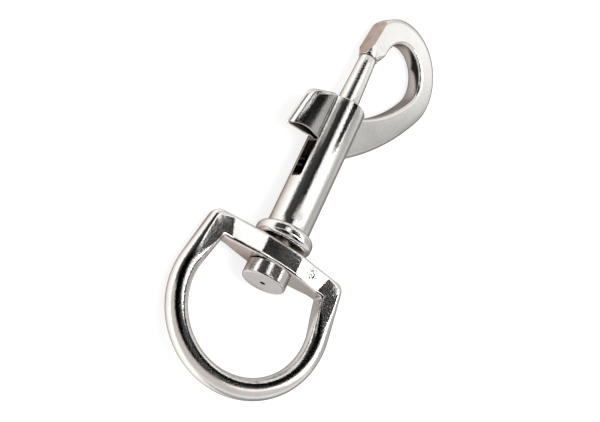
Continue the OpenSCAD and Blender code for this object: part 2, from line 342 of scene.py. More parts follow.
castNickel = nickel("castNickel", nickelFinish)
eyeNickel = nickel("eyeNickel", nickelFinish, crossbarPits)
studNickel = nickel("studNickel", dict(nickelFinish, roughLow=0.08, roughHigh=0.16, waveDepth=0.000003))
springSteel = nickel("springSteel", dict(
    nickelFinish, color=(0.14, 0.13, 0.12), shade=(0.08, 0.07, 0.06),
    roughLow=0.25, roughHigh=0.4, waveDepth=0.000002))
# a near-black nickel that paints the shade in hollows: the bore, the stud's pit, the bolt inside the
# barrel and the lever's hollow
paintedShadeNickel = nickel("paintedShadeNickel", dict(
    nickelFinish, color=(0.07, 0.06, 0.05), shade=(0.03, 0.025, 0.02),
    roughLow=0.4, roughHigh=0.6))
# a duller tan nickel; on the nose flat the tan is a painted reflection of a warm tone
dullTanNickel = nickel("dullTanNickel", dict(
    nickelFinish, color=(0.50, 0.41, 0.37), shade=(0.40, 0.31, 0.27),
    roughLow=0.22, roughHigh=0.34, cloudScale=420.0))
lipNickel = nickel("lipNickel", dict(
    nickelFinish, metal=0.4, color=(0.85, 0.83, 0.80), shade=(0.80, 0.78, 0.75),
    roughLow=0.3, roughHigh=0.4))
print("finishes made")


smoothing = {
    "sharpAngle": 35,
    "normalWeight": 60,
}


def finishPiece(made, matrix, body, material, replaced=(), inside=None, dullTan=None):
    # inside chooses the faces that lie in shade, which get painted shade; the second test chooses the
    # faces given a duller tan, which on the nose flat is a painted reflection
    paintedShadeFaces = [poly.index for poly in made.data.polygons if inside and inside(poly.center)]
    dullTanFaces = [poly.index for poly in made.data.polygons if dullTan and dullTan(poly.center, poly.normal)]
    made.data.transform(matrix)
    for poly in made.data.polygons:
        poly.use_smooth = True
    made.data.set_sharp_from_angle(angle=radians(smoothing["sharpAngle"]))
    weighted = made.modifiers.new("Weighted Normal", "WEIGHTED_NORMAL")
    weighted.keep_sharp = True
    weighted.weight = smoothing["normalWeight"]
    if not made.data.materials:
        made.data.materials.append(material)
    for chosen, other in ((paintedShadeFaces, paintedShadeNickel), (dullTanFaces, dullTanNickel)):
        if chosen:
            made.data.materials.append(other)
        for index in chosen:
            made.data.polygons[index].material_index = len(made.data.materials) - 1
    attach(made, body)
    if replaced:
        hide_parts(*replaced)
    print("piece", made.name, len(made.data.polygons), "faces")


hook = {
    "bowCentre": (8.9, 48.4),
    "bowRadius": 8.9,
    "barWidth": 5.4,
    "barThick": 3.9,
    "outerRound": 1.9,
    "innerRound": 0.8,
    "noseEdge": 0.6,  # the outer edges are crisper near the nose
    "edgeFrom": 0.1,  # shares of the bow over which they turn round
    "edgeRun": 0.35,
    "armFrom": 25,  # degrees below the bow's side where the outer edge leaves it
    "armRadius": 63,
    "webFrom": 26,  # and where the inner edge does
    "webRadius": 34,
    "rootX": 3.65,  # both edges end inside the barrel's wall
    "noseZ": 45.7,
    "noseWidth": 4.3,
    "noseThinning": 0.05,  # how much less its half thickness is than its half width
    "flatDistance": 1.95,
    "flatLean": 6.5,
    "flatFacing": 0.97,  # the faces of the flat that get the duller tan, a painted reflection: how squarely they face, and from how far out
    "flatFrom": 0.8,
    "socketRadius": 1.7,
    "socketDepth": 0.9,
}


def noseStations(centre, half, thick):
    # from the round end of the nose up to the start of the bow
    noseHalf = hook["noseWidth"] / 2
    stations = []
    steps = 10
    for i in range(steps):
        t = smooth01(i / steps)
        z = blendValue(hook["noseZ"], centre.y, i / steps)
        wide = blendValue(noseHalf, half, t)
        stations.append({
            "inner": (wide, z),
            "outer": (-wide, z),
            "halfThick": blendValue(noseHalf - hook["noseThinning"], thick, t),
            "outerRound": blendValue(noseHalf, hook["noseEdge"], t),
            "innerRound": blendValue(noseHalf, hook["innerRound"], t),
        })
    return stations


def hookStations():
    centre = Vector(hook["bowCentre"])
    half = hook["barWidth"] / 2
    outerRadius, innerRadius = hook["bowRadius"] + half, hook["bowRadius"] - half
    thick = hook["barThick"] / 2
    plain = {"halfThick": thick, "outerRound": hook["outerRound"], "innerRound": hook["innerRound"]}
    stations = noseStations(centre, half, thick)
    bowSteps = 72
    for i in range(bowSteps + 1):
        a = radians(180 - (180 + hook["armFrom"]) * i / bowSteps)
        way = Vector((cos(a), sin(a)))
        turned = smooth01((i / bowSteps - hook["edgeFrom"]) / hook["edgeRun"])
        stations.append(dict(plain, inner=centre + way * innerRadius, outer=centre + way * outerRadius,
                             outerRound=blendValue(hook["noseEdge"], hook["outerRound"], turned)))

    def below(angle):
        return Vector((cos(radians(angle)), -sin(radians(angle))))

    armCentre = centre + (outerRadius - hook["armRadius"]) * below(hook["armFrom"])
    webCentre = centre + (innerRadius - hook["webRadius"]) * below(hook["webFrom"])
    armEnd = degrees(acos((hook["rootX"] - armCentre.x) / hook["armRadius"]))
    webEnd = degrees(acos((hook["rootX"] - webCentre.x) / hook["webRadius"]))
    armSteps = 36
    for i in range(1, armSteps + 1):
        t = i / armSteps
        armAngle = blendValue(hook["armFrom"], armEnd, t)
        webAngle = blendValue(hook["webFrom"], webEnd, t)
        stations.append(dict(plain, inner=webCentre + hook["webRadius"] * below(webAngle),
                             outer=armCentre + hook["armRadius"] * below(armAngle)))
    return stations


def makeHook():
    bm = bmesh.new()
    first, last = loft(bm, [stationRing(s) for s in hookStations()])
    capRing(bm, last)
    end = capRing(bm, first)
    bmesh.ops.inset_region(bm, faces=[end], thickness=hook["noseWidth"] / 2 - hook["socketRadius"])
    socket = bmesh.ops.extrude_discrete_faces(bm, faces=[end])["faces"]
    bmesh.ops.translate(bm, verts=socket[0].verts[:], vec=(0, 0, hook["socketDepth"]))
    lean = radians(hook["flatLean"])
    cut = bmesh.ops.bisect_plane(bm, geom=bm.verts[:] + bm.edges[:] + bm.faces[:], dist=0.0001,
                                 plane_co=(-hook["flatDistance"], 0, hook["noseZ"]),
                                 plane_no=(-cos(lean), 0, sin(lean)), clear_outer=True)
    rim = [g for g in cut["geom_cut"] if isinstance(g, bmesh.types.BMEdge)]
    bmesh.ops.edgeloop_fill(bm, edges=rim)
    tidyMesh(bm)
    return makeObject("hookArm", bm)


# the nose flat, which gets the painted tan reflection
def onNoseFlat(spot, normal):
    facing = normal.x < -hook["flatFacing"]
    return facing and spot.x < -hook["flatFrom"] and spot.z > hook["noseZ"] - 0.1


barrel = {
    "radius": 4.3,
    "length": 33,
    "boreRadius": 3,
    "boreRound": 0.15,
    "floor": 3.4,
    "studHole": 2.12,
    "collarRadius": 5.85,
    "collarHeight": 2.9,
    "collarRound": 1.1,
    "neckFillet": 0.3,
    "rimRound": 0.3,
    "slotWidth": 2.5,
    "slotFoot": 13.5,
    "slotRound": 0.6,
    "slotEdge": 0.12,  # bevel on the slot's outer edge
    "shadeFrom": 0.3,  # how far below the rim the painted shade inside starts
    "cutterDepth": 5,
    "cutterMiddle": -4,
    "cutterAbove": 2,  # how far the slot's cutter stands over the rim
}


def barrelProfile():
    b = barrel
    collarEdge = b["collarRadius"] - b["collarRound"]
    neck = (b["radius"] + b["neckFillet"], b["collarHeight"] + b["neckFillet"])
    rim = (b["radius"] - b["rimRound"], b["length"] - b["rimRound"])
    bore = (b["boreRadius"] + b["boreRound"], b["length"] - b["boreRound"])
    profile = [(b["studHole"], 0)]
    profile += arcPoints((collarEdge, b["collarRound"]), b["collarRound"], -90, 0, 10)
    profile += arcPoints((collarEdge, b["collarHeight"] - b["collarRound"]), b["collarRound"], 0, 90, 10)
    profile += arcPoints(neck, b["neckFillet"], 270, 180, 4)
    profile += [(b["radius"], z) for z in range(5, int(b["length"]), 2)]
    profile += arcPoints(rim, b["rimRound"], 0, 90, 5)
    profile += arcPoints(bore, b["boreRound"], 90, 180, 3)
    profile += [(b["boreRadius"], b["floor"]), (b["studHole"], b["floor"])]
    return profile


def makeSlotCutter():
    cutter = bmesh.new()
    high = barrel["length"] + barrel["cutterAbove"] - barrel["slotFoot"]
    size = (barrel["cutterDepth"], barrel["slotWidth"], high)
    middle = (barrel["cutterMiddle"], 0, barrel["slotFoot"] + high / 2)
    bmesh.ops.create_cube(cutter, size=1)
    bmesh.ops.scale(cutter, vec=size, verts=cutter.verts[:])
    bmesh.ops.translate(cutter, vec=middle, verts=cutter.verts[:])
    foot = [e for e in cutter.edges
            if all(abs(v.co.z - barrel["slotFoot"]) < 0.01 for v in e.verts)
            and abs(e.verts[0].co.y - e.verts[1].co.y) < 0.01]
    bmesh.ops.bevel(cutter, geom=foot, offset=barrel["slotRound"], offset_type="OFFSET", segments=6,
                    profile=0.5, affect="EDGES", material=-1)
    return makeObject("slotCutter", cutter)


def onSlotEdge(edge):
    middle = (edge.verts[0].co + edge.verts[1].co) / 2
    slack = 0.05
    near = (middle.x < -2.4 and abs(middle.y) < barrel["slotWidth"] / 2 + slack
            and middle.z > barrel["slotFoot"] - slack)
    return near and edge.calc_face_angle(0) > radians(40)


def makeBarrel():
    bm = bmesh.new()
    lathe(bm, barrelProfile(), 128, closed=True)
    made = makeObject("barrelTube", bm)
    joinWith(made, makeSlotCutter(), "DIFFERENCE")
    bevelEdges(made, onSlotEdge, barrel["slotEdge"])
    return made


# the faces inside the bore, which get painted shade
def inBore(spot):
    withinWall = hypot(spot.x, spot.y) < barrel["boreRadius"] + 0.04
    return withinWall and barrel["floor"] - 0.1 < spot.z < barrel["length"] - barrel["shadeFrom"]


hookBody = makeBarrel()
joinWith(hookBody, makeHook(), "UNION")
finishPiece(hookBody, hookLay, "hook", castNickel, ["hook_body"],
            inside=inBore, dullTan=onNoseFlat)

lever = {
    "foot": 22.87,
    "width": 2.3,
    "start": 2.7,
    "straight": 6.5,  # from here the sides taper towards the end
    "reach": 12,
    "flare": 1.1,
    "noseRadius": 0.75,
    "noseStretch": 1.8,  # how much longer than wide the rounded end is
    "topRound": 0.45,
    "topStretch": 2,
    "topTrim": 0.1,
    "cornerRadius": 3,
    "cornerDrop": 5,
    "flatFrom": 0.6,  # the top is flat to this distance from the barrel
    "gripRadius": 8.5,
    "gripEnd": 0.9,  # the hollow stops this far before the end
    "skewFrom": 4.5,
    "hollowSkew": 0.8,  # how much lower the far wall's edge hangs
    "cornerLead": 0.005,  # the first ring over the corner lies this far inside the wall
    "roofLead": 0.02,
    "roofStep": 0.28,
    "roofEnd": 0.65,  # distances from the barrel
    "roofSeat": 0.5,
    "roofFacing": 0.42,  # the dull faces of the roof: how far they face up, and how far down they go
    "roofDrop": 1,
    "wall": 0.6,
}


def leverTop(x):
    # height of the lever's top edge at a distance from the barrel's axis
    cornerX = lever["reach"] - lever["flare"] - lever["cornerRadius"]
    cornerZ = barrel["length"] - lever["cornerDrop"]
    flat = barrel["radius"] + lever["flatFrom"]
    fall, run = barrel["length"] - cornerZ, cornerX - flat
    slope = atan2(fall, run) - asin(lever["cornerRadius"] / hypot(fall, run))
    tangent = cornerX + lever["cornerRadius"] * sin(slope)
    if x <= flat:
        return barrel["length"]
    if x <= tangent:
        return barrel["length"] - (x - flat) * tan(slope)
    return cornerZ + sqrt(max(0, lever["cornerRadius"] ** 2 - (x - cornerX) ** 2))


def leverFoot(x):
    # the underside: flat near the barrel, then a hollow that the thumb hooks into
    centre = (lever["reach"] / 2, lever["foot"] - lever["gripRadius"])
    if x <= centre[0]:
        return lever["foot"]
    return centre[1] + sqrt(lever["gripRadius"] ** 2 - (x - centre[0]) ** 2)


def leverHalf(x):
    # half width of the lever at a distance from the barrel's axis
    half = lever["width"] / 2
    taper = (x - lever["straight"]) / (lever["reach"] - lever["noseRadius"] - lever["straight"])
    return half - (half - lever["noseRadius"]) * min(1, max(0, taper))


def leverRing(reach, rounding, stretch=1, trim=0):
    # one level of the lever: out along one side, round the end and back along the other
    wide = leverHalf(reach) - trim
    rounding = min(rounding, wide)
    stretch = rounding * stretch
    sideEnd = reach - stretch
    sideSteps = 12
    endSteps = 7
    right = []
    for i in range(sideSteps):
        x = blendValue(lever["start"], sideEnd, i / sideSteps)
        right.append((x, leverHalf(x) - trim))
    for i in range(endSteps + 1):
        a = pi / 2 * i / endSteps
        right.append((sideEnd + stretch * sin(a), wide - rounding + rounding * cos(a)))
    right.append((reach, (wide - rounding) / 2))
    left = [(x, -y) for x, y in reversed(right)]
    return right + left


def leverWallRings():
    # from the hollow underside up to the corner, drawn in by the flare
    cornerZ = barrel["length"] - lever["cornerDrop"]
    skewRun = lever["reach"] - lever["skewFrom"]
    steps = 10
    rings = []
    for i in range(steps + 1):
        t = i / steps
        reach = lever["reach"] - lever["flare"] * t
        ring = []
        for x, y in leverRing(reach, lever["noseRadius"], lever["noseStretch"]):
            bulge = sin(pi * min(1, max(0, (x - lever["skewFrom"]) / skewRun)))
            skew = lever["hollowSkew"] * bulge * max(0, -y) / leverHalf(x)
            foot = leverFoot(min(x, lever["reach"] - lever["gripEnd"])) - skew
            ring.append(Vector((x, y, blendValue(foot, cornerZ, t))))
        rings.append(ring)
    return rings


def leverRoofRings():
    # over the rounded corner and back along the roof to the barrel
    wallReach = lever["reach"] - lever["flare"]
    roofReach = wallReach - lever["roofLead"]
    steps = int((roofReach - barrel["radius"] - lever["roofEnd"]) / lever["roofStep"])
    reaches = [wallReach - lever["cornerLead"]]
    for i in range(1, steps + 1):
        reaches.append(roofReach - lever["roofStep"] * i)
    rings = []
    for x in reaches:
        t = smooth01((wallReach - x) / lever["cornerRadius"])
        rounding = blendValue(lever["noseRadius"], lever["topRound"], t)
        stretch = blendValue(lever["noseStretch"], lever["topStretch"], t)
        rings.append([Vector((u, v, leverTop(x))) for u, v in leverRing(x, rounding, stretch)])
    last = leverRing(barrel["radius"] + lever["roofSeat"], lever["topRound"], trim=lever["topTrim"])
    rings.append([Vector((u, v, barrel["length"])) for u, v in last])
    return rings


def makeLever():
    bm = bmesh.new()
    top = loft(bm, leverWallRings() + leverRoofRings())[1]
    capRing(bm, top)
    bmesh.ops.recalc_face_normals(bm, faces=bm.faces[:])
    bmesh.ops.rotate(bm, verts=bm.verts[:], cent=(0, 0, 0), matrix=Matrix.Rotation(pi, 3, "Z"))
    made = makeObject("lever", bm)
    for material in (castNickel, paintedShadeNickel, lipNickel):
        made.data.materials.append(material)
    # the shell's inner faces get painted shade, and its rim the lip finish
    shell = made.modifiers.new("Solidify", "SOLIDIFY")
    shell.material_offset = 1
    shell.material_offset_rim = 2
    shell.thickness = lever["wall"]
    shell.offset = -1
    shell.use_even_offset = True
    return applyModifiers(made)


def onLeverRoof(spot, normal):
    lowest = barrel["length"] - lever["cornerDrop"] - lever["roofDrop"]
    return normal.z > lever["roofFacing"] and spot.z > lowest


bolt = {
    "bodyRadius": 2.95,
    "tail": 3.5,  # how far the body reaches below the lever
    "footEdge": 0.2,
    "topEdge": 0.15,
    "rodRadius": 2.3,
    "rodTipRadius": 1.8,
    "shoulder": 45.4,
    "shoulderEdge": 0.06,
    "end": 46.3,
    "endRadius": 1.2,
    "endEdge": 0.1,
}


def boltProfile():
    b = bolt
    foot = lever["foot"] - b["tail"]
    top = barrel["length"]
    profile = [(0, foot), (b["bodyRadius"] - b["footEdge"], foot)]
    profile += [(b["bodyRadius"], foot + b["footEdge"])]
    profile += [(b["bodyRadius"], top - b["footEdge"]), (b["bodyRadius"] - b["topEdge"], top)]
    profile += [(b["rodRadius"] + b["topEdge"], top), (b["rodRadius"], top + b["topEdge"])]
    rodSteps = 6
    for i in range(1, rodSteps):
        t = i / rodSteps
        rod = blendValue(b["rodRadius"], b["rodTipRadius"], t)
        profile.append((rod, blendValue(top, b["shoulder"], t)))
    profile += [(b["rodTipRadius"], b["shoulder"] - b["footEdge"])]
    profile += [(b["rodTipRadius"] - b["shoulderEdge"], b["shoulder"])]
    profile += [(b["endRadius"] + b["endEdge"], b["end"] - b["endEdge"])]
    profile += [(b["endRadius"] - b["endEdge"], b["end"]), (0, b["end"])]
    return profile


def makeBolt():
    bm = bmesh.new()
    lathe(bm, boltProfile(), 96)
    return makeObject("boltRod", bm)


# the bolt below the barrel's rim, which gets painted shade
def inBarrel(spot):
    return spot.z < barrel["length"] - barrel["shadeFrom"]


finishPiece(makeBolt(), hookLay, "bolt", castNickel, ["bolt"], inside=inBarrel)
finishPiece(makeLever(), hookLay, "bolt", castNickel, dullTan=onLeverRoof)

stud = {
    "shank": 2.1,
    "headTop": -5.4,
    "headHeight": 3.1,
    "headRadius": 4.4,
    "headRound": 0.4,
    "topRound": 0.15,
    "pitRadius": 0.45,
    "pitDepth": 0.8,
    "pitTaper": 0.7,
    "pitLip": 0.12,
    "rivetRadius": 2.6,
    "rivetHeight": 0.7,
    "rivetSeat": 0.01,
    "rivetEdge": 0.2,
    "rivetRound": 0.3,
}


def studProfile():
    # from the pit in the head's outer end up to the rivet inside the barrel
    s = stud
    foot = s["headTop"] - s["headHeight"]
    pitFloor = foot + s["pitDepth"]
    floor = barrel["floor"]
    top = floor + s["rivetHeight"]
    headLow = (s["headRadius"] - s["headRound"], foot + s["headRound"])
    headHigh = (s["headRadius"] - s["topRound"], s["headTop"] - s["topRound"])
    profile = [(0, pitFloor), (s["pitRadius"] * s["pitTaper"], pitFloor)]
    profile += [(s["pitRadius"], foot + s["topRound"]), (s["pitRadius"] + s["pitLip"], foot)]
    profile += arcPoints(headLow, s["headRound"], -90, 0, 6)
    profile += arcPoints(headHigh, s["topRound"], 0, 90, 3)
    profile += [(s["shank"], s["headTop"]), (s["shank"], floor)]
    profile += [(s["rivetRadius"], floor + s["rivetSeat"]), (s["rivetRadius"], top - s["rivetEdge"])]
    profile += [(s["rivetRadius"] - s["rivetRound"], top), (0, top)]
    return profile


def makeStud():
    bm = bmesh.new()
    lathe(bm, studProfile(), 96)
    return makeObject("swivelStud", bm)


# the pit in the stud's head, which gets painted shade
def inPit(spot):
    return hypot(spot.x, spot.y) < stud["pitRadius"] + 0.1 and spot.z < stud["headTop"]


finishPiece(makeStud(), hookLay, "hook", studNickel, ["stud"], inside=inPit)

spring = {
    "wireRadius": 0.3,
    "coilRadius": 2.45,
    "turns": 8,
    "foot": 4.15,
    "top": 19.32,
    "stepsPerTurn": 32,
}


def makeSpring():
    s = spring
    bm = bmesh.new()
    bmesh.ops.create_circle(bm, segments=12, radius=s["wireRadius"], cap_ends=True)
    bmesh.ops.rotate(bm, verts=bm.verts[:], cent=(0, 0, 0), matrix=Matrix.Rotation(pi / 2, 3, "X"))
    bmesh.ops.translate(bm, verts=bm.verts[:], vec=(s["coilRadius"], 0, s["foot"] + s["wireRadius"]))
    wire = 2 * s["wireRadius"]
    free = s["top"] - s["foot"] - 3 * wire
    stretches = ((1, wire), (s["turns"] - 2, free), (1, wire))  # the end turns lie close
    geom = bm.verts[:] + bm.edges[:] + bm.faces[:]
    for turns, rise in stretches:
        steps = int(turns * s["stepsPerTurn"])
        spun = bmesh.ops.spin(bm, geom=geom, cent=(0, 0, 0), axis=(0, 0, 1), dvec=(0, 0, rise / steps),
                              angle=2 * pi * turns, steps=steps, use_merge=False, use_duplicate=False)
        geom = spun["geom_last"]
    tidyMesh(bm)
    return makeObject("returnSpring", bm)


returnSpring = makeSpring()
finishPiece(returnSpring, hookLay, "hook", springSteel, ["spring"])
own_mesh(returnSpring)

eye = {
    "crossTop": -0.5,
    "crossFoot": -5.2,
    "crossThick": 3.9,
    "crossRound": 0.7,
    "cornerRound": 1.4,  # the crossbar turns rounder towards its ends, on the outer side
    "cornerFrom": 11,
    "cornerRun": 3,
    "fanFrom": 7.5,  # from here the sections fan out into the corner
    "archHalf": 3.75,  # half thickness in the middle, round the stud
    "crownRun": 4,
    "crownSlope": 0.1,
    "crownBlend": 1.0,
    "flankSlope": 0.246,
    "archRun": 10.5,
    "archBlend": 0.8,
    "archEnd": 12,
    "barRadius": 2.15,
    "bowRadius": 15,
    "bowDepth": 14.2,
    "cornerX": 13.3,
    "outerCorner": 1.8,
    "innerCorner": 0.5,
    "blendLength": 8,  # how far down the leg the section turns round
    "hole": 2.18,
    "drillDepth": 8,
}


def archFall(x):
    # slope of the low arch over the stud: a round crown, a flank and a flat end
    crown = eye["crownSlope"] * min(1, x / eye["crownRun"])
    toFlank = smooth01((x - eye["crownRun"] + eye["crownBlend"] / 2) / eye["crownBlend"])
    toFlat = smooth01((x - eye["archRun"] + eye["archBlend"] / 2) / eye["archBlend"])
    return blendValue(crown, eye["flankSlope"], toFlank) * (1 - toFlat)


def archDrop(x):
    # how far the arch has fallen at a distance from the middle
    parts = 80
    return sum(archFall(x * (i + 0.5) / parts) for i in range(parts)) * x / parts


def archHalf(x):
    share = archDrop(min(abs(x), eye["archEnd"])) / archDrop(eye["archEnd"])
    return blendValue(eye["archHalf"], eye["crossThick"] / 2, share)


def filletPoints(corner, before, after, radius, steps):
    # an arc that rounds the corner between two directions that point away from it
    half = acos(before.dot(after)) / 2
    reach = radius / tan(half)
    centre = corner + (before + after).normalized() * radius / sin(half)
    start = corner + before * reach - centre
    end = corner + after * reach - centre
    startAngle, endAngle = atan2(start.y, start.x), atan2(end.y, end.x)
    if endAngle - startAngle > pi:
        endAngle -= 2 * pi
    if startAngle - endAngle > pi:
        endAngle += 2 * pi
    return [Vector(p) for p in arcPoints(centre, radius, degrees(startAngle), degrees(endAngle), steps)]


def barStation(inner, outer, halfThick, outerRound, innerRound):
    return {"inner": inner, "outer": outer, "halfThick": halfThick,
            "outerRound": outerRound, "innerRound": innerRound}


def eyeHalf():
    # stations of the right half, from the middle of the crossbar to the foot of the bow
    e = eye
    centre = Vector((0, -e["bowDepth"]))
    reach = Vector((e["cornerX"], (e["crossTop"] + e["crossFoot"]) / 2)) - centre
    lean = atan2(reach.y, reach.x) - acos(e["bowRadius"] / reach.length)
    normal = Vector((cos(lean), sin(lean)))
    down = Vector((normal.y, -normal.x))
    left = Vector((-1, 0))
    bar = e["barRadius"]
    outerRadius, innerRadius = e["bowRadius"] + bar, e["bowRadius"] - bar

    def cornerArc(radius, z, rounding):
        corner = Vector(((radius - (z - centre.y) * normal.y) / normal.x, z))
        return filletPoints(corner, left, down, rounding, 14)

    outerArc = cornerArc(outerRadius, e["crossTop"], e["outerCorner"])
    innerArc = cornerArc(innerRadius, e["crossFoot"], e["innerCorner"])
    stations = []
    crossSteps = 60
    for i in range(crossSteps):
        x = innerArc[0].x * i / crossSteps
        outerX = x
        if x > e["fanFrom"]:
            fan = (x - e["fanFrom"]) / (innerArc[0].x - e["fanFrom"])
            outerX = blendValue(e["fanFrom"], outerArc[0].x, fan)
        toCorner = smooth01((outerX - e["cornerFrom"]) / e["cornerRun"])
        edge = blendValue(e["crossRound"], e["cornerRound"], toCorner)
        stations.append(barStation((x, e["crossFoot"]), (outerX, e["crossTop"]),
                                   archHalf((x + outerX) / 2), edge, e["crossRound"]))
    flat = e["crossThick"] / 2
    for outer, inner in zip(outerArc, innerArc):
        stations.append(barStation(inner, outer, flat, e["cornerRound"], e["crossRound"]))
    outerFoot, innerFoot = centre + normal * outerRadius, centre + normal * innerRadius
    legLength = (innerFoot - innerArc[-1]).length
    legSteps = 24
    for i in range(1, legSteps + 1):
        t = i / legSteps
        morph = smooth01(t * legLength / e["blendLength"])
        inner, outer = innerArc[-1].lerp(innerFoot, t), outerArc[-1].lerp(outerFoot, t)
        stations.append(barStation(
            inner, outer, blendValue(flat, bar, morph),
            blendValue(e["cornerRound"], bar, morph), blendValue(e["crossRound"], bar, morph)))
    bowSteps = 40
    for i in range(1, bowSteps + 1):
        a = blendValue(lean, -pi / 2, i / bowSteps)
        way = Vector((cos(a), sin(a)))
        stations.append(barStation(centre + way * innerRadius, centre + way * outerRadius, bar, bar, bar))
    return stations


def makeEye():
    right = eyeHalf()
    left = []
    for s in reversed(right[1:-1]):
        left.append(dict(s, inner=(-s["inner"][0], s["inner"][1]), outer=(-s["outer"][0], s["outer"][1])))
    bm = bmesh.new()
    loft(bm, [stationRing(s) for s in right + left], closed=True)
    tidyMesh(bm)
    made = makeObject("strapEye", bm)
    drill = bmesh.new()
    bmesh.ops.create_cone(drill, cap_ends=True, segments=64, radius1=eye["hole"], radius2=eye["hole"],
                          depth=eye["drillDepth"])
    bmesh.ops.translate(drill, vec=(0, 0, (eye["crossTop"] + eye["crossFoot"]) / 2), verts=drill.verts[:])
    joinWith(made, makeObject("studDrill", drill), "DIFFERENCE")
    return made


finishPiece(makeEye(), eyeLay, "eye", eyeNickel, ["d_eye"])

camera = {
    "location": (-0.0978, 0.1424, 0.1959),
    "rotation": (-1.1, -41.5, -55.6),
    "lens": 78.4,
    "shift": 0.0083,
    "clipStart": 0.01,
}
studio = {
    "tableSize": 3.0,
    "tableColor": (0.92, 0.92, 0.92),
    "tableWhite": 1.12,
    "tableShare": 0.7,  # how much of its own glow the camera sees
    "mirrorWhite": 1.25,  # how bright the metal sees the table on the near side of the hook
    "farSide": 0.42,  # and how bright beyond it
    "farFrom": -0.022,  # the Y values between which one turns into the other
    "nearFrom": 0.004,
    "closeRange": 0.018,  # the painted shade on the table as the metal mirrors it, from right under the metal to clear of it
    "closeStops": ((0.1, (0.08, 0.055, 0.04)), (0.6, (0.64, 0.565, 0.54)), (0.95, (1, 1, 1))),
    "worldStrength": 0.86,
    "cardCentre": (0, 0, 0.006),
    "lampLocation": (0.1, -0.2, 0.9),
    "lampSize": 0.8,
    "lampPower": 7,
}


def addGlow(nodes, color, strength=1.0):
    glow = nodes.new("ShaderNodeEmission")
    glow.inputs["Color"].default_value = (*color, 1)
    glow.inputs["Strength"].default_value = strength
    return glow


def addMix(nodes, links, share, first, second):
    mix = nodes.new("ShaderNodeMixShader")
    links.new(share, mix.inputs["Fac"])
    links.new(first, mix.inputs[1])
    links.new(second, mix.inputs[2])
    return mix.outputs["Shader"]


def makeTable():
    bm = bmesh.new()
    bmesh.ops.create_grid(bm, x_segments=1, y_segments=1, size=studio["tableSize"] / 2)
    table = makeObject("table", bm)
    material = bpy.data.materials.new("paleTable")
    nodes, links = emptyNodes(material)
    path = nodes.new("ShaderNodeLightPath")
    diffuse = nodes.new("ShaderNodeBsdfDiffuse")
    diffuse.inputs["Color"].default_value = (*studio["tableColor"], 1)
    glow = addGlow(nodes, (1, 1, 1), studio["tableWhite"])
    share = addMath(nodes, links, "MULTIPLY", path.outputs["Is Camera Ray"], studio["tableShare"])
    seen = addMix(nodes, links, share, diffuse.outputs["BSDF"], glow.outputs["Emission"])
    # the metal mirrors a bright table with a warm painted shadow close under it
    close = nodes.new("ShaderNodeAmbientOcclusion")
    close.samples = 12
    close.inputs["Distance"].default_value = studio["closeRange"]
    tint = addRamp(nodes, links, close.outputs["AO"], studio["closeStops"])
    coords = nodes.new("ShaderNodeTexCoord")
    parts = nodes.new("ShaderNodeSeparateXYZ")
    links.new(coords.outputs["Object"], parts.inputs["Vector"])
    beyond = addRange(nodes, links, parts.outputs["Y"], (studio["farFrom"], studio["nearFrom"]),
                      (studio["farSide"], studio["mirrorWhite"]))
    mirrored = addGlow(nodes, (1, 1, 1))
    links.new(beyond, mirrored.inputs["Strength"])
    links.new(tint, mirrored.inputs["Color"])
    output = nodes.new("ShaderNodeOutputMaterial")
    surface = addMix(nodes, links, path.outputs["Is Glossy Ray"], seen, mirrored.outputs["Emission"])
    links.new(surface, output.inputs["Surface"])
    table.data.materials.append(material)


def makeWorld():
    world = bpy.data.worlds.new("studioWorld")
    bpy.context.scene.world = world
    nodes, links = emptyNodes(world)
    lights = []
    for strength in (studio["worldStrength"], 1.0):
        light = nodes.new("ShaderNodeBackground")
        light.inputs["Color"].default_value = (1, 1, 1, 1)
        light.inputs["Strength"].default_value = strength
        lights.append(light.outputs["Background"])
    path = nodes.new("ShaderNodeLightPath")
    shown = addMath(nodes, links, "MAXIMUM", path.outputs["Is Camera Ray"],
                    path.outputs["Is Transmission Ray"])
    output = nodes.new("ShaderNodeOutputWorld")
    links.new(addMix(nodes, links, shown, *lights), output.inputs["Surface"])


makeTable()
makeWorld()
print("table and world made")

# Cards that the metal mirrors, unseen by the camera. Each glows from its left to its right tone
# and fades out at its edges over the soft share of its size, a tenth unless it says so. The far
# ones stand in a direction given by degrees to the right of and above the camera.
farCards = [
    {"name": "cardHigh", "side": -4, "rise": 50, "distance": 0.7,
     "size": (0.9, 0.46), "tones": (0.1, 0.0)},
    {"name": "cardFront", "side": -6, "rise": -2, "distance": 0.7,
     "size": (0.5, 0.8), "tones": (0.02, 0.0)},
    {"name": "cardLow", "side": 31, "rise": -28, "distance": 0.7,
     "size": (0.34, 0.5), "tones": (0.0, 0.02)},
    {"name": "softRight", "side": 54, "rise": 20, "distance": 0.9,
     "size": (0.62, 0.62), "tones": (1.35, 1.35)},
    {"name": "greyRight", "side": 108, "rise": -12, "distance": 0.7,
     "size": (0.56, 0.34), "tones": (0.62, 0.5)},
]

# The near ones stand where a spot with that normal mirrors the camera's view.
nearCards = [
    {"name": "softFlank", "spot": (eyeLay, -7.2, -2.8, -2.85), "normal": -13.8,
     "distance": 0.05, "size": (0.02, 0.018), "tones": (1.3, 1.3), "soft": 0.1},
    {"name": "flagLever", "spot": (hookLay, -8.8, -1.05, 26), "normal": -5.7,
     "distance": 0.02, "size": (0.0085, 0.015), "tones": (0.0, 0.0), "soft": 0.1},
    {"name": "greyLever", "spot": (hookLay, -5.7, -1.15, 27), "normal": 0,
     "distance": 0.03, "size": (0.0085, 0.017), "tones": (0.42, 0.48), "soft": 0.2},
    {"name": "softBow", "spot": (hookLay, 9, -1.9, 57), "normal": 0,
     "distance": 0.06, "size": (0.052, 0.045), "tones": (1.2, 1.2), "soft": 0.45},
]

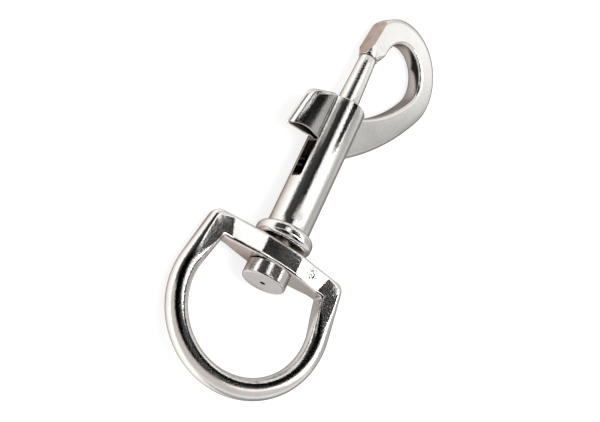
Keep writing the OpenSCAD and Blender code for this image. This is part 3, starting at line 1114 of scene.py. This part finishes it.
# These hang at a chosen spot and face a direction. A ring has the height of its middle, its inner
# and its outer radius as shares of the card's size.
laidCards = [
    {"name": "haloEye", "spot": (eyeLay, -5.7, -15, -92.8), "face": (0, -1, 0), "along": (1, 0, 0),
     "size": (0.16, 0.16), "tones": (0.68, 0.68), "soft": 0.08,
     "ring": (0.525, 0.125, 0.46), "tint": (1, 0.93, 0.9)},
    {"name": "ringEye", "spot": (eyeLay, -5.33, -14, -29.6), "face": (0, -1, 0), "along": (1, 0, 0),
     "size": (0.054, 0.054), "tones": (0.0, 0.0), "soft": 0.05, "ring": (0.3796, 0.1333, 0.4537)},
    {"name": "flagCross", "spot": (eyeLay, 15.8, -40, 11.4), "face": (0, -1, 0), "along": (1, 0, 0),
     "size": (0.0445, 0.0175), "tones": (0.0, 0.0), "soft": 0.04},
    {"name": "paleHead", "spot": (eyeLay, 1.5, 3.9, -11.1), "face": (0, -1, 0), "along": (1, 0, 0),
     "size": (0.012, 0.0048), "tones": (0.86, 0.86), "soft": 0.08, "tint": (0.98, 0.97, 1)},
    {"name": "greyStrip", "spot": (hookLay, -26, -6.4, 38.8), "face": (1, 0, 0), "along": (0, 0, 1),
     "size": (0.0125, 0.0105), "tones": (0.4, 0.4), "soft": 0.1},
    {"name": "flagBow", "spot": (hookLay, 11.2, 1.0, 51.0), "face": (0, -1, 0), "along": (1, 0, 0),
     "size": (0.004, 0.005), "tones": (0.02, 0.02), "soft": 0.2},
]


def cardSpot(card):
    return card["spot"][0] @ Vector(card["spot"][1:])


def turnedWay(card, way):
    # a direction of the hook or the eye, as it lies on the table
    return (card["spot"][0].to_3x3() @ Vector(way)).normalized()


def farWay(card):
    side, rise = radians(card["side"]), radians(card["rise"])
    return Vector((sin(side) * cos(rise), sin(rise), cos(side) * cos(rise)))


def mirrorWay(card):
    # the normal turns from the piece's upper face by degrees towards -X or +X
    a = radians(card["normal"])
    normal = turnedWay(card, (sin(a), -cos(a), 0))
    view = (Vector(camera["location"]) - cardSpot(card)).normalized()
    return normal * 2 * normal.dot(view) - view


def addShape(nodes, links, coords, parts, card):
    # how solid the card is: it fades towards its edges, and a ring has a hole too
    soft = card.get("soft", 0.1)
    fades = []
    for axis in ("X", "Y"):
        out = addMath(nodes, links, "ABSOLUTE", parts.outputs[axis])
        fades.append(addRange(nodes, links, out, (0.5, 0.5 - soft), smooth=True))
    if "ring" in card:
        middle, inner, outer = card["ring"]
        far = addDistance(nodes, links, coords, (0, middle, 0))
        fades.append(addRange(nodes, links, far, (inner - soft, inner + soft), smooth=True))
        fades.append(addRange(nodes, links, far, (outer + soft, outer - soft), smooth=True))
    share = fades[0]
    for fade in fades[1:]:
        share = addMath(nodes, links, "MULTIPLY", share, fade)
    return share


def cardMaterial(card):
    material = bpy.data.materials.new(card["name"])
    nodes, links = emptyNodes(material)
    coords = nodes.new("ShaderNodeTexCoord")
    parts = nodes.new("ShaderNodeSeparateXYZ")
    links.new(coords.outputs["Object"], parts.inputs["Vector"])
    glow = addGlow(nodes, card.get("tint", (1, 1, 1)))
    tone = addRange(nodes, links, parts.outputs["X"], (-0.5, 0.5), card["tones"])
    links.new(tone, glow.inputs["Strength"])
    clear = nodes.new("ShaderNodeBsdfTransparent")
    share = addShape(nodes, links, coords, parts, card)
    output = nodes.new("ShaderNodeOutputMaterial")
    surface = addMix(nodes, links, share, clear.outputs["BSDF"], glow.outputs["Emission"])
    links.new(surface, output.inputs["Surface"])
    return material


def makeCard(card, spot, way, along):
    bm = bmesh.new()
    bmesh.ops.create_grid(bm, x_segments=1, y_segments=1, size=0.5)
    made = makeObject(card["name"], bm)
    made.location = spot
    across = (along - way * along.dot(way)).normalized()
    made.rotation_mode = "QUATERNION"
    made.rotation_quaternion = Matrix((across, way.cross(across), way)).transposed().to_quaternion()
    made.scale = (card["size"][0], card["size"][1], 1)
    made.visible_camera = False
    made.visible_diffuse = False
    made.visible_shadow = False
    made.data.materials.append(cardMaterial(card))


cameraTurn = Euler([radians(a) for a in camera["rotation"]]).to_matrix()
for card in farCards:
    way = cameraTurn @ farWay(card)
    spot = Vector(studio["cardCentre"]) + way * card["distance"]
    makeCard(card, spot, way, cameraTurn @ Vector((1, 0, 0)))
for card in nearCards:
    way = mirrorWay(card)
    makeCard(card, cardSpot(card) + way * card["distance"], way, turnedWay(card, (1, 0, 0)))
for card in laidCards:
    makeCard(card, cardSpot(card), turnedWay(card, card["face"]), turnedWay(card, card["along"]))
print("cards made")


def makeLamp():
    data = bpy.data.lights.new("softTop", "AREA")
    data.shape = "DISK"
    data.size = studio["lampSize"]
    data.energy = studio["lampPower"]
    lamp = bpy.data.objects.new("softTop", data)
    lamp.location = studio["lampLocation"]
    lamp.rotation_mode = "QUATERNION"
    lamp.rotation_quaternion = Vector(studio["lampLocation"]).to_track_quat("Z", "Y")
    bpy.context.scene.collection.objects.link(lamp)


def makeCamera():
    data = bpy.data.cameras.new("camera")
    data.lens = camera["lens"]
    data.sensor_width = 36
    data.shift_y = camera["shift"]
    data.clip_start = camera["clipStart"]
    made = bpy.data.objects.new("camera", data)
    made.location = camera["location"]
    made.rotation_euler = [radians(a) for a in camera["rotation"]]
    bpy.context.scene.collection.objects.link(made)
    bpy.context.scene.camera = made


makeLamp()
makeCamera()
bpy.context.scene.view_settings.view_transform = "Standard"
print("lamp and camera made")
